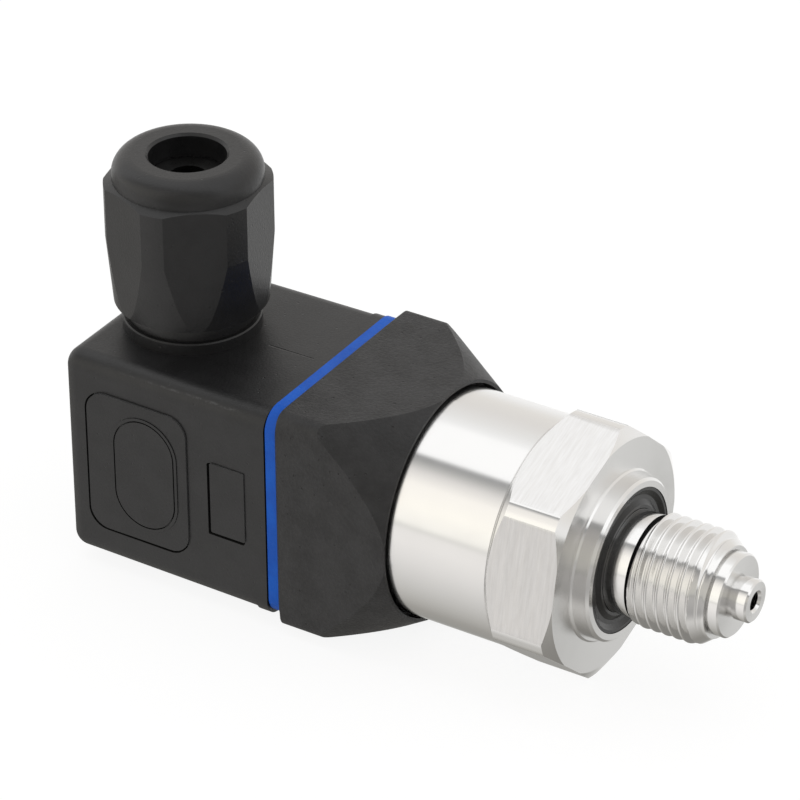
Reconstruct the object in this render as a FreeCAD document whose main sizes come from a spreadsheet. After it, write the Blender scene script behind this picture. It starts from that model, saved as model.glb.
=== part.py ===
import FreeCAD, Part
import math
import os
import Sketcher

# Pressure transmitter with a right-angle plug connector. The +X axis is the process axis and
# points out of the threaded tip, +Z is the axis of the cable gland, and the origin is the middle
# of the flange face that carries the profile seal. All sizes are in millimetres and degrees.

SIZES = [
    ("pin_radius", 2.5, "centring pin"),
    ("pin_length", 1.7, "head of the centring pin"),
    ("pin_neck_radius", 2.25, "undercut behind the pin head"),
    ("pin_neck_length", 0.4, "length of that undercut"),
    ("spigot_radius", 4.85, "spigot behind the pin"),
    ("spigot_length", 1.25, "head of the spigot"),
    ("spigot_groove_radius", 4.5, "narrow groove behind the spigot"),
    ("spigot_groove_length", 0.25, "width of that groove"),
    ("spigot_land_radius", 4.95, "land between that groove and the thread"),
    ("spigot_land_length", 0.85, "length of that land"),
    ("thread_radius", 6.5785, "outer radius of the G1/4 thread"),
    ("thread_length", 7.4, "threaded length between the chamfers"),
    ("lead_length", 0.8, "lead chamfer in front of the thread"),
    ("lead_radius", 6.0, "small end of the lead chamfer"),
    ("runout_length", 0.25, "chamfer behind the thread"),
    ("runout_radius", 6.25, "small end of that chamfer"),
    ("relief_radius", 5.5, "narrow groove behind the thread"),
    ("relief_length", 0.45, "width of that groove"),
    ("neck_radius", 6.0, "neck between that groove and the flange"),
    ("neck_length", 3.0, "from the seal face to the thread"),
    ("edge_break", 0.2, "small chamfer on turned edges"),
    ("flange_radius", 9.5, "flange that seals"),
    ("flange_length", 1.75, "thickness of the flange"),
    ("flange_chamfer", 0.3, "front edge of the flange"),
    ("step_radius", 10.05, "step behind the flange"),
    ("step_length", 0.3, "thickness of the step"),
    ("groove_radius", 8.5, "outer wall of the seal groove"),
    ("groove_depth", 1.5, "depth of the seal groove"),
    ("hexagon_across", 27.0, "across the flats"),
    ("hexagon_length", 8.55, "length of the hexagon"),
    ("hexagon_turn", 18.5, "first corner above the +Y axis"),
    ("corner_radius", 15.1, "turned corners of the hexagon"),
    ("front_face_radius", 13.7, "flat front face of the hexagon"),
    ("front_chamfer_length", 0.81, "front chamfer of the corners"),
    ("rear_chamfer_length", 1.38, "rear chamfer of the corners"),
    ("bore_radius", 1.05, "pressure channel"),
    ("sink_radius", 1.33, "mouth of the pressure channel"),
    ("sink_length", 0.3, "depth of that mouth"),
    ("cell_room_radius", 10.5, "room for the measuring cell"),
    ("cell_room_depth", 5.0, "depth of the room in the hexagon"),
    ("collar_length", 2.6, "collar that centres the can"),
    ("seal_gap", 0.05, "clearance of a seal in its groove"),
    ("seal_recess", 0.1, "seal below the flange face"),
    ("seal_dish", 0.45, "hollow in the face of the seal"),
    ("seal_lip", 0.35, "flat lip beside the hollow"),
    ("seal_slope", 0.6, "slope from a lip down to the hollow"),
    ("can_radius", 13.45, "outside of the can"),
    ("can_wall", 0.95, "wall of the can"),
    ("can_length", 19.4, "from the hexagon into the adapter"),
    ("slip", 0.05, "clearance of pieces that slip into each other"),
    ("cell_thickness", 3.2, "measuring cell"),
    ("ring_section", 1.6, "thickness of the round seals"),
    ("cell_ring_radius", 9.0, "middle radius of the cell seal"),
    ("clamp_wall", 3.0, "radial wall of the clamp ring"),
    ("clamp_length", 2.8, "length of the clamp ring"),
    ("diaphragm_radius", 6.0, "hollow in front of the cell"),
    ("diaphragm_depth", 0.6, "depth of that hollow"),
    ("spacer_wall", 1.0, "tube that holds the board"),
    ("spacer_foot", 2.05, "foot of that tube against the collar"),
    ("board_thickness", 1.6, "amplifier board"),
    ("board_place", 24.4, "front face of the board behind the origin"),
    ("chip_size", 5.0, "square chips on the board"),
    ("chip_place", 3.5, "middle of a chip from the axis"),
    ("chip_height", 1.2, "height of the chips"),
    ("adapter_rear", 37.8, "gasket face of the adapter"),
    ("adapter_front", 23.3, "front face of the adapter"),
    ("adapter_half", 14.15, "half width of the adapter"),
    ("adapter_corner", 1.6, "corner radius of the adapter"),
    ("adapter_edge", 0.5, "chamfer at the gasket face"),
    ("cone_radius", 14.25, "small end of the cone that turns the square round"),
    ("cone_slope", 0.582, "growth of that cone's radius per length"),
    ("cone_length", 10.5, "reach of that cone, past the corners of the square"),
    ("rim_gap", 0.4, "open joint round the can"),
    ("rim_gap_depth", 1.5, "depth of that joint"),
    ("can_clearance", 0.12, "clearance of the can in its slot"),
    ("boss_front", 26.0, "front of the boss inside the can"),
    ("boss_wall", 2.8, "wall of that boss"),
    ("slot_bottom", 31.0, "bottom of the slot for the can"),
    ("ring_place", 28.5, "middle of the boss seal"),
    ("floor_front", 34.5, "inside of the contact floor"),
    ("insert_radius", 2.4, "threaded insert"),
    ("insert_length", 6.3, "length of the threaded insert"),
    ("insert_boss_radius", 4.8, "boss of the adapter round the insert"),
    ("screw_radius", 1.5, "shank of the retaining screw"),
    ("contact_circle", 9.0, "contacts from the axis"),
    ("blade_width", 6.3, "contact blade"),
    ("blade_thickness", 0.8, "contact blade"),
    ("blade_length", 10.0, "contact blade out of the adapter"),
    ("tail_radius", 0.5, "tail of a blade through the board"),
    ("tail_reach", 0.6, "tail in front of the board"),
    ("gasket_half", 13.58, "half width of the gasket"),
    ("gasket_thickness", 1.38, "gasket between adapter and plug"),
    ("gasket_corner", 2.6, "corner radius of the gasket"),
    ("gasket_hole", 11.4, "half width of the opening in the gasket"),
    ("plug_half", 13.52, "half width of the plug at the gasket"),
    ("plug_top", 13.15, "upper face of the plug"),
    ("plug_bottom", 13.86, "lower face of the plug"),
    ("plug_length", 28.0, "length of the plug"),
    ("plug_corner", 2.4, "edges along the plug"),
    ("plug_draft", 0.5, "draft of the plug walls"),
    ("plug_rear_edge", 2.0, "rounding of the rear edges"),
    ("skirt_length", 1.7, "skirt at the gasket"),
    ("skirt_step", 0.12, "skirt beyond the walls"),
    ("joint_width", 0.18, "open joint between the skirt and the gasket"),
    ("joint_depth", 0.6, "depth of that joint"),
    ("room_half", 11.4, "half width of the room in the plug"),
    ("room_corner", 1.0, "corner radius of the room"),
    ("room_length", 22.5, "depth of the room in the plug"),
    ("head_room_radius", 3.6, "sink for the screw head"),
    ("head_room_depth", 3.0, "depth of that sink"),
    ("shank_gap", 0.3, "clearance round the screw shank"),
    ("gland_place", 57.95, "gland axis behind the origin"),
    ("collar_radius", 8.05, "collar under the gland nut"),
    ("collar_height", 1.35, "height of the collar"),
    ("collar_edge", 0.15, "chamfer on the collar's top edge"),
    ("stem_radius", 7.4, "threaded stem of the gland"),
    ("stem_top", 29.5, "upper end of the stem"),
    ("passage_radius", 4.6, "cable passage into the plug"),
    ("seat_radius", 6.0, "seat of the gland seal"),
    ("seat_bottom", 24.0, "bottom of that seat"),
    ("bush_hole", 2.15, "hole of the gland seal"),
    ("bush_top", 32.0, "top of the raised middle"),
    ("bush_shoulder", 30.9, "shoulder that the washer presses on"),
    ("washer_radius", 6.9, "thrust washer"),
    ("washer_hole", 4.8, "hole of the thrust washer"),
    ("washer_top", 32.2, "upper face of the washer"),
    ("nut_opening", 4.47, "opening of the gland nut"),
    ("nut_opening_edge", 0.3, "chamfer round that opening"),
    ("nut_top", 34.85, "top of the gland nut"),
    ("nut_bottom", 16.6, "lower end of the gland nut"),
    ("nut_ring_radius", 8.68, "round dome of the nut"),
    ("nut_dome", 2.3, "rounding of the dome"),
    ("nut_across", 17.9, "across the flats of the nut"),
    ("nut_corner_radius", 9.63, "turned corners of the nut"),
    ("nut_shoulder_top", 31.95, "where the shoulder meets the dome"),
    ("nut_shoulder", 31.45, "where the corners begin"),
    ("nut_taper_start", 24.8, "where the nut begins to taper"),
    ("nut_foot_radius", 8.97, "lower end of the nut"),
    ("nut_turn", 38.5, "first corner of the nut"),
    ("thread_gap", 0.06, "running clearance in the gland thread"),
    ("carrier_front", 41.2, "front of the terminal carrier"),
    ("carrier_length", 12.0, "length of the terminal carrier"),
    ("carrier_gap", 0.15, "clearance of the carrier in the plug"),
    ("cell_width", 7.8, "slot for a receptacle"),
    ("cell_height", 3.2, "slot for a receptacle"),
    ("receptacle_wall", 0.6, "wall of a receptacle"),
    ("receptacle_back", 2.4, "closed rear end of a receptacle"),
    ("terminal_radius", 1.2, "terminal screw"),
    ("terminal_length", 2.2, "terminal screw in the receptacle"),
    ("terminal_head", 1.5, "radius of the terminal screw head"),
    ("terminal_head_length", 1.4, "height of the terminal screw head"),
    ("screw_head_radius", 2.9, "head of the retaining screw"),
    ("screw_head_length", 2.0, "height of that head"),
    ("screw_reach", 5.0, "screw in the threaded insert"),
    ("sealing_thickness", 0.8, "washer under the screw head"),
    ("slot_width", 0.8, "slot in the screw head"),
    ("slot_depth", 0.9, "depth of the slot"),
    ("plate_height", 0.12, "raised plates on the side of the plug"),
    ("seam_width", 0.28, "groove behind and below a plate"),
    ("seam_depth", 0.5, "depth of that groove"),
    ("plate_rear", 63.6, "rear edge of the large plate"),
    ("plate_front", 50.0, "front edge of the large plate"),
    ("plate_half", 9.0, "half height of the large plate"),
    ("plate_corner", 2.5, "corners of the large plate"),
    ("oval_place", 55.8, "middle of the oval on the plate"),
    ("oval_half_length", 7.45, "half height of the oval"),
    ("oval_radius", 4.5, "half width of the oval"),
    ("oval_height", 0.1, "oval above the plate"),
    ("oval_rim", 0.35, "from the oval's edge to the groove inside it"),
    ("oval_groove", 0.16, "width of that groove"),
    ("oval_groove_depth", 0.3, "depth of that groove"),
    ("tag_rear", 46.8, "rear edge of the small plate"),
    ("tag_front", 42.2, "front edge of the small plate"),
    ("tag_half", 4.6, "half height of the small plate"),
]


class Size:
    """A number together with the formula in the sheet that it comes from."""

    def __init__(self, value, formula):
        self.value = value
        self.formula = formula

    def __add__(self, other):
        other = sized(other)
        return Size(self.value + other.value, f"({self.formula} + {other.formula})")

    def __sub__(self, other):
        other = sized(other)
        return Size(self.value - other.value, f"({self.formula} - {other.formula})")

    def __mul__(self, other):
        other = sized(other)
        return Size(self.value * other.value, f"({self.formula} * {other.formula})")

    def __truediv__(self, other):
        other = sized(other)
        return Size(self.value / other.value, f"({self.formula} / {other.formula})")

    def __neg__(self):
        return Size(-self.value, f"(0 - {self.formula})")


def sized(number):
    """Plain numbers join in sums with sizes."""
    return number if isinstance(number, Size) else Size(float(number), repr(float(number)))


class Sheet:
    """The driving dimensions: one row each, read back as attributes."""

    def __init__(self, document):
        sheet = document.addObject("Spreadsheet::Sheet", "Sizes")
        for row, (alias, value, note) in enumerate(SIZES, start=1):
            sheet.set(f"A{row}", note)
            sheet.set(f"B{row}", str(value))
            sheet.setAlias(f"B{row}", alias)
            setattr(self, alias, Size(value, f"Sizes.{alias}"))


doc = FreeCAD.newDocument("pressure_transmitter")
s = Sheet(doc)
doc.recompute()


def new_body(name):
    body = doc.addObject("PartDesign::Body", name)
    body.Label = name
    body.Placement = FreeCAD.Placement()
    return body


def bind(item, path, size):
    """A property of an object follows a formula of the sheet."""
    item.setExpression(path, sized(size).formula)


def add_sketch(body, role, name, offset=None):
    """A sketch on an own origin plane of the body, moved along the plane's normal."""
    sketch = body.newObject("Sketcher::SketchObject", name)
    plane = [p for p in body.Origin.OriginFeatures if p.Role == role][0]
    sketch.AttachmentSupport = [(plane, "")]
    sketch.MapMode = "FlatFace"
    if offset is not None:
        sketch.AttachmentOffset = FreeCAD.Placement(
            FreeCAD.Vector(0, 0, offset.value), FreeCAD.Rotation()
        )
        bind(sketch, "AttachmentOffset.Base.z", offset)
    return sketch


def constrain(sketch, kind, *where, size=None):
    """One constraint, driven by a size when it has one."""
    if size is None:
        return sketch.addConstraint(Sketcher.Constraint(kind, *where))
    index = sketch.addConstraint(Sketcher.Constraint(kind, *where, size.value))
    bind(sketch, f"Constraints[{index}]", size)
    return index


def fix_point(sketch, edge, end, point):
    """Both coordinates of a vertex, or the axis that it lies on."""
    for axis, kind, coordinate in ((-2, "DistanceX", point[0]), (-1, "DistanceY", point[1])):
        coordinate = sized(coordinate)
        if coordinate.value == 0.0:
            constrain(sketch, "PointOnObject", edge, end, axis)
        else:
            constrain(sketch, kind, edge, end, size=coordinate)


def arc_between(start, stop, radius, side):
    """Arc from start to stop, with its centre to the left (1) or to the right (-1)."""
    chord = stop - start
    height = math.sqrt(max(radius ** 2 - (chord.Length / 2) ** 2, 0.0))
    left = FreeCAD.Vector(-chord.y, chord.x, 0) / chord.Length
    centre = (start + stop) / 2 + left * (side * height)
    angles = [math.atan2(p.y - centre.y, p.x - centre.x) for p in (start, stop)]
    if side < 0:
        angles.reverse()
    circle = Part.Circle(centre, FreeCAD.Vector(0, 0, 1), radius)
    return Part.ArcOfCircle(circle, *angles)


def outline(sketch, points):
    """Closed outline. A point may name the radius and side of the arc that follows it."""
    places = [FreeCAD.Vector(sized(p[0]).value, sized(p[1]).value, 0) for p in points]
    first = sketch.GeometryCount
    ends = []
    for number, point in enumerate(points):
        start, stop = places[number], places[(number + 1) % len(points)]
        if len(point) == 2:
            sketch.addGeometry(Part.LineSegment(start, stop))
            ends.append((1, 2))
        else:
            sketch.addGeometry(arc_between(start, stop, point[2].value, point[3]))
            ends.append((1, 2) if point[3] > 0 else (2, 1))
    for number, point in enumerate(points):
        following = (number + 1) % len(points)
        where = (first + number, ends[number][1], first + following, ends[following][0])
        constrain(sketch, "Coincident", *where)
    for number, point in enumerate(points):
        fix_point(sketch, first + number, ends[number][0], point)
        if len(point) == 4:
            constrain(sketch, "Radius", first + number, size=point[2])
    return sketch


def circle(sketch, u, v, radius):
    """Full circle about a point."""
    middle = FreeCAD.Vector(sized(u).value, sized(v).value, 0)
    edge = sketch.addGeometry(Part.Circle(middle, FreeCAD.Vector(0, 0, 1), radius.value))
    if sized(u).value == 0.0 and sized(v).value == 0.0:
        constrain(sketch, "Coincident", edge, 3, -1, 1)
    else:
        fix_point(sketch, edge, 3, (u, v))
    constrain(sketch, "Radius", edge, size=radius)
    return sketch


def rounded_box(left, right, low, high, radius):
    """Outline of a rectangle with round corners, counter-clockwise."""
    return [
        (left + radius, low),
        (right - radius, low, radius, 1),
        (right, low + radius),
        (right, high - radius, radius, 1),
        (right - radius, high),
        (left + radius, high, radius, 1),
        (left, high - radius),
        (left, low + radius, radius, 1),
    ]


def hexagon(sketch, across, turn):
    """Regular hexagon with its first corner turned from the sketch's own +x axis."""
    radius = across / math.sqrt(3)
    corners = []
    for number in range(6):
        angle = math.radians(turn.value + 60 * number)
        spot = FreeCAD.Vector(math.cos(angle), math.sin(angle), 0) * radius.value
        corners.append(spot)
    for number in range(6):
        sketch.addGeometry(Part.LineSegment(corners[number], corners[(number + 1) % 6]))
    ring = sketch.addGeometry(
        Part.Circle(FreeCAD.Vector(), FreeCAD.Vector(0, 0, 1), radius.value), True
    )
    spoke = sketch.addGeometry(Part.LineSegment(FreeCAD.Vector(), corners[0]), True)
    constrain(sketch, "Coincident", ring, 3, -1, 1)
    constrain(sketch, "Coincident", spoke, 1, -1, 1)
    constrain(sketch, "Coincident", spoke, 2, 0, 1)
    constrain(sketch, "Radius", ring, size=radius)
    for number in range(6):
        constrain(sketch, "Coincident", number, 2, (number + 1) % 6, 1)
        constrain(sketch, "PointOnObject", number, 1, ring)
    for number in range(1, 6):
        constrain(sketch, "Equal", 0, number)
    index = sketch.addConstraint(
        Sketcher.Constraint("Angle", -1, 1, spoke, 1, math.radians(turn.value))
    )
    bind(sketch, f"Constraints[{index}]", turn)
    return sketch


def feature(body, kind, sketch, name):
    item = body.newObject(f"PartDesign::{kind}", name)
    item.Profile = sketch
    sketch.Visibility = False
    return item


def turned(body, name, points, kind="Revolution", role="XZ_Plane", axis="H_Axis"):
    """A profile turned once about an axis of its sketch."""
    sketch = outline(add_sketch(body, role, f"{name}_profile"), points)
    item = feature(body, kind, sketch, name)
    item.ReferenceAxis = (sketch, [axis])
    item.Angle = 360.0
    return item


def pushed(body, name, sketch, length, kind="Pad", backward=False):
    """A sketch pushed out or cut in over a length."""
    item = feature(body, kind, sketch, name)
    item.Type = 0
    item.Reversed = backward
    bind(item, "Length", length)
    return item


def upright(body, name, points, kind="Revolution"):
    """A profile turned about the gland axis."""
    return turned(body, name, points, kind, axis="V_Axis")


def stand_on_gland(body):
    """The body's own Z axis is the gland axis."""
    body.Placement.Base = FreeCAD.Vector(-s.gland_place.value, 0, 0)
    bind(body, "Placement.Base.x", -s.gland_place)


# Places along the process axis
thread_rear = s.neck_length
thread_front = thread_rear + s.thread_length
lead_front = thread_front + s.lead_length
land_front = lead_front + s.spigot_land_length
spigot_rear = land_front + s.spigot_groove_length
spigot_front = spigot_rear + s.spigot_length
pin_rear = spigot_front + s.pin_neck_length
tip = pin_rear + s.pin_length
hexagon_front = -(s.flange_length + s.step_length)
hexagon_rear = hexagon_front - s.hexagon_length
collar_rear = hexagon_rear - s.collar_length
room_floor = hexagon_rear + s.cell_room_depth
can_inside = s.can_radius - s.can_wall
can_rear = hexagon_rear - s.can_length
cell_front = room_floor - s.ring_section
cell_rear = cell_front - s.cell_thickness
clamp_rear = cell_rear - s.clamp_length
plug_front = -(s.adapter_rear + s.gasket_thickness)
plug_rear = plug_front - s.plug_length
room_rear = plug_front - s.room_length
carrier_rear = -(s.carrier_front + s.carrier_length)


def process_connection():
    """Turned steel body: pin, spigot, thread, flange and hexagon, bored for the pressure."""
    body = new_body("process_connection")
    sketch = hexagon(add_sketch(body, "YZ_Plane", "hexagon_outline", hexagon_rear),
                     s.hexagon_across, s.hexagon_turn)
    pushed(body, "hexagon", sketch, s.hexagon_length)
    beyond = s.corner_radius + s.collar_length
    turned(body, "hexagon_turning", [
        (hexagon_rear, s.can_radius),
        (hexagon_rear + s.rear_chamfer_length, s.corner_radius),
        (hexagon_front - s.front_chamfer_length, s.corner_radius),
        (hexagon_front, s.front_face_radius),
        (hexagon_front, beyond),
        (hexagon_rear, beyond),
    ], "Groove")
    turned(body, "turned_front", [
        (hexagon_front, 0),
        (tip, 0),
        (tip, s.pin_radius - s.edge_break),
        (tip - s.edge_break, s.pin_radius),
        (pin_rear, s.pin_radius),
        (pin_rear, s.pin_neck_radius),
        (spigot_front, s.pin_neck_radius),
        (spigot_front, s.spigot_radius - s.edge_break),
        (spigot_front - s.edge_break, s.spigot_radius),
        (spigot_rear, s.spigot_radius),
        (spigot_rear, s.spigot_groove_radius),
        (land_front, s.spigot_groove_radius),
        (land_front, s.spigot_land_radius),
        (lead_front, s.spigot_land_radius),
        (lead_front, s.lead_radius),
        (thread_front, s.thread_radius),
        (thread_rear + s.runout_length, s.thread_radius),
        (thread_rear, s.runout_radius),
        (thread_rear, s.relief_radius),
        (thread_rear - s.relief_length, s.relief_radius),
        (thread_rear - s.relief_length, s.neck_radius),
        (-s.groove_depth, s.neck_radius),
        (-s.groove_depth, s.groove_radius),
        (0, s.groove_radius),
        (0, s.flange_radius - s.flange_chamfer),
        (-s.flange_chamfer, s.flange_radius),
        (-s.flange_length, s.flange_radius),
        (-s.flange_length, s.step_radius - s.edge_break),
        (-s.flange_length - s.edge_break, s.step_radius),
        (hexagon_front, s.step_radius),
    ])
    turned(body, "can_collar", [
        (hexagon_rear, s.cell_room_radius),
        (hexagon_rear, can_inside - s.slip),
        (collar_rear, can_inside - s.slip),
        (collar_rear, s.cell_room_radius),
    ])
    turned(body, "cell_room", [
        (hexagon_rear, 0),
        (hexagon_rear, s.cell_room_radius),
        (room_floor, s.cell_room_radius),
        (room_floor, 0),
    ], "Groove")
    turned(body, "pressure_channel", [
        (room_floor, 0),
        (tip, 0),
        (tip, s.sink_radius),
        (tip - s.sink_length, s.bore_radius),
        (room_floor, s.bore_radius),
    ], "Groove")
    return body


def profile_seal():
    """Moulded ring with a dished face, seated in the groove of the flange."""
    body = new_body("profile_seal")
    inner = s.neck_radius + s.seal_gap
    outer = s.groove_radius - s.seal_gap
    hollow = s.seal_lip + s.seal_slope
    turned(body, "ring", [
        (-s.groove_depth, inner),
        (-s.seal_recess, inner),
        (-s.seal_recess, inner + s.seal_lip),
        (-s.seal_dish, inner + hollow),
        (-s.seal_dish, outer - hollow),
        (-s.seal_recess, outer - s.seal_lip),
        (-s.seal_recess, outer),
        (-s.groove_depth, outer),
    ])
    return body


def housing_tube():
    """Drawn steel can between the hexagon and the adapter."""
    body = new_body("housing_tube")
    turned(body, "can", [
        (can_rear, can_inside),
        (hexagon_rear, can_inside),
        (hexagon_rear, s.can_radius - s.edge_break),
        (hexagon_rear - s.edge_break, s.can_radius),
        (can_rear + s.edge_break, s.can_radius),
        (can_rear, s.can_radius - s.edge_break),
    ])
    return body


def round_ring(name, place, radius, section):
    """Round seal about the process axis."""
    ring = doc.addObject("Part::Torus", name)
    ring.Label = name
    ring.Placement = FreeCAD.Placement(
        FreeCAD.Vector(place.value, 0, 0), FreeCAD.Rotation(FreeCAD.Vector(0, 1, 0), 90)
    )
    bind(ring, "Placement.Base.x", place)
    bind(ring, "Radius1", radius)
    bind(ring, "Radius2", section / 2)
    return ring


def sensor_cell():
    """Ceramic measuring cell with the hollow of its diaphragm."""
    body = new_body("sensor_cell")
    radius = s.cell_room_radius - s.slip
    turned(body, "disc", [
        (cell_rear, 0),
        (cell_front - s.diaphragm_depth, 0),
        (cell_front - s.diaphragm_depth, s.diaphragm_radius),
        (cell_front, s.diaphragm_radius),
        (cell_front, radius),
        (cell_rear, radius),
    ])
    return body


def cell_clamp_ring():
    """Ring that holds the measuring cell down on its seal."""
    body = new_body("cell_clamp_ring")
    outer = s.cell_room_radius - s.slip
    turned(body, "ring", [
        (clamp_rear, outer - s.clamp_wall),
        (cell_rear, outer - s.clamp_wall),
        (cell_rear, outer),
        (clamp_rear, outer),
    ])
    return body


def board_spacer():
    """Tube between the clamp ring and the amplifier board."""
    body = new_body("board_spacer")
    outer = can_inside - s.slip
    turned(body, "tube", [
        (-s.board_place, outer - s.spacer_wall),
        (-s.board_place, outer),
        (collar_rear, outer),
        (collar_rear, outer - s.spacer_foot),
        (collar_rear - s.spacer_wall, outer - s.spacer_foot),
        (collar_rear - s.spacer_wall, outer - s.spacer_wall),
    ])
    return body


CONTACTS = [
    ("1", 0),
    ("2", 90),
    ("3", 180),
    ("ground", 270),
]


def around(angle):
    """Direction of a contact about the process axis, as seen in the YZ plane."""
    return round(math.cos(math.radians(angle))), round(math.sin(math.radians(angle)))


def contact_box(angle, across, along):
    """Corners of a box that faces the process axis at the place of a contact."""
    y, z = around(angle)
    middle = (s.contact_circle * y, s.contact_circle * z)
    half = (across / 2, along / 2) if z else (along / 2, across / 2)
    left, right = middle[0] - half[0], middle[0] + half[0]
    low, high = middle[1] - half[1], middle[1] + half[1]
    return [(left, low), (right, low), (right, high), (left, high)]


def tail_circles(sketch, radius):
    """Holes or pins where the tails of the four contacts are."""
    for name, angle in CONTACTS:
        y, z = around(angle)
        circle(sketch, s.contact_circle * y, s.contact_circle * z, radius)
    return sketch


def amplifier_board():
    """Round board with chips, soldered to the tails of the contacts."""
    body = new_body("amplifier_board")
    front = -s.board_place
    rear = front - s.board_thickness
    sketch = circle(add_sketch(body, "YZ_Plane", "board_outline", rear), 0, 0, can_inside - s.slip)
    pushed(body, "board", sketch, s.board_thickness)
    for number, side in enumerate((-1, 1)):
        half = s.chip_size / 2
        middle = s.chip_place * side
        corners = [(middle - half, -half), (middle + half, -half),
                   (middle + half, half), (middle - half, half)]
        chip = outline(add_sketch(body, "YZ_Plane", f"chip_{number}_outline", front), corners)
        pushed(body, f"chip_{number}", chip, s.chip_height)
    holes = tail_circles(add_sketch(body, "YZ_Plane", "tail_holes", rear), s.tail_radius + s.slip)
    pushed(body, "tail_drilling", holes, s.board_thickness, "Pocket", True)
    return body


def square_to_round(body):
    """The front of the square block, turned down by a cone: its flats end in hyperbolas."""
    front = -s.adapter_front
    rear = front - s.cone_length
    wide = s.cone_radius + s.cone_length * s.cone_slope
    turned(body, "cone_turning", [
        (front, s.cone_radius),
        (rear, wide),
        (front, wide),
    ], "Groove")


def adapter_housing():
    """Moulded adapter: square at the gasket, round at the can, with a boss inside the can."""
    body = new_body("adapter_housing")
    half = s.adapter_half
    small = half - s.adapter_edge
    front = -s.adapter_front
    rear = add_sketch(body, "YZ_Plane", "rear_outline", -s.adapter_rear)
    outline(rear, rounded_box(-small, small, -small, small, s.gasket_corner))
    full = add_sketch(body, "YZ_Plane", "full_outline", -s.adapter_rear + s.adapter_edge)
    outline(full, rounded_box(-half, half, -half, half, s.adapter_corner))
    edge = body.newObject("PartDesign::AdditiveLoft", "rear_edge")
    edge.Profile = rear
    edge.Sections = [full]
    edge.Ruled = True
    pushed(body, "square_block", full, s.adapter_rear - s.adapter_edge - s.adapter_front)
    square_to_round(body)
    boss = can_inside - s.slip
    slot = s.can_radius + s.can_clearance
    seat = boss - s.ring_section - s.slip
    half_ring = s.ring_section / 2
    turned(body, "can_room", [
        (front, 0),
        (front, s.can_radius + s.rim_gap),
        (front - s.rim_gap_depth, s.can_radius + s.rim_gap),
        (front - s.rim_gap_depth, slot),
        (-s.slot_bottom, slot),
        (-s.slot_bottom, boss),
        (-s.ring_place - half_ring, boss),
        (-s.ring_place - half_ring, seat),
        (-s.ring_place + half_ring, seat),
        (-s.ring_place + half_ring, boss),
        (-s.boss_front, boss),
        (-s.boss_front, boss - s.boss_wall),
        (-s.floor_front, boss - s.boss_wall),
        (-s.floor_front, s.insert_boss_radius),
        (-s.adapter_rear + s.insert_length, s.insert_boss_radius),
        (-s.adapter_rear + s.insert_length, 0),
    ], "Groove")
    centre = circle(add_sketch(body, "YZ_Plane", "insert_hole", -s.adapter_rear), 0, 0,
                    s.insert_radius)
    pushed(body, "insert_drilling", centre, s.insert_length, "Pocket", True)
    holes = tail_circles(add_sketch(body, "YZ_Plane", "tail_holes", -s.adapter_rear),
                         s.tail_radius + s.slip)
    pushed(body, "tail_drilling", holes, s.adapter_rear - s.floor_front, "Pocket", True)
    return body


def threaded_insert():
    """Brass insert that takes the retaining screw."""
    body = new_body("threaded_insert")
    hole = s.screw_radius + s.slip
    turned(body, "sleeve", [
        (-s.adapter_rear, hole),
        (-s.adapter_rear + s.insert_length, hole),
        (-s.adapter_rear + s.insert_length, s.insert_radius),
        (-s.adapter_rear, s.insert_radius),
    ])
    return body


def contact_blade(label, angle):
    """Flat contact on the rear face of the adapter, with a round tail to the board."""
    body = new_body(f"contact_blade_{label}")
    blade = outline(add_sketch(body, "YZ_Plane", "blade_outline", -s.adapter_rear),
                    contact_box(angle, s.blade_width, s.blade_thickness))
    pushed(body, "blade", blade, s.blade_length, backward=True)
    y, z = around(angle)
    tail = circle(add_sketch(body, "YZ_Plane", "tail_outline", -s.adapter_rear),
                  s.contact_circle * y, s.contact_circle * z, s.tail_radius)
    pushed(body, "tail", tail, s.adapter_rear - s.board_place + s.tail_reach)
    return body


def plug_gasket():
    """Flat square gasket between the adapter and the plug."""
    body = new_body("plug_gasket")
    half = s.gasket_half
    hole = s.gasket_hole
    sketch = add_sketch(body, "YZ_Plane", "outline", -s.adapter_rear)
    outline(sketch, rounded_box(-half, half, -half, half, s.gasket_corner))
    outline(sketch, rounded_box(-hole, hole, -hole, hole, s.room_corner))
    pushed(body, "sheet", sketch, s.gasket_thickness, backward=True)
    return body


def edges_where(shape, wanted):
    """Names of the edges of a shape that a test accepts."""
    return [f"Edge{n}" for n, edge in enumerate(shape.Edges, start=1) if wanted(edge)]


def plug_outline(body, name, place, step=0.0):
    """Section of the plug, wider by a step where the skirt is."""
    half = s.plug_half + step
    sketch = add_sketch(body, "YZ_Plane", name, place)
    return outline(sketch, rounded_box(-half, half, -s.plug_bottom - step, s.plug_top + step,
                                       s.plug_corner))


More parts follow.
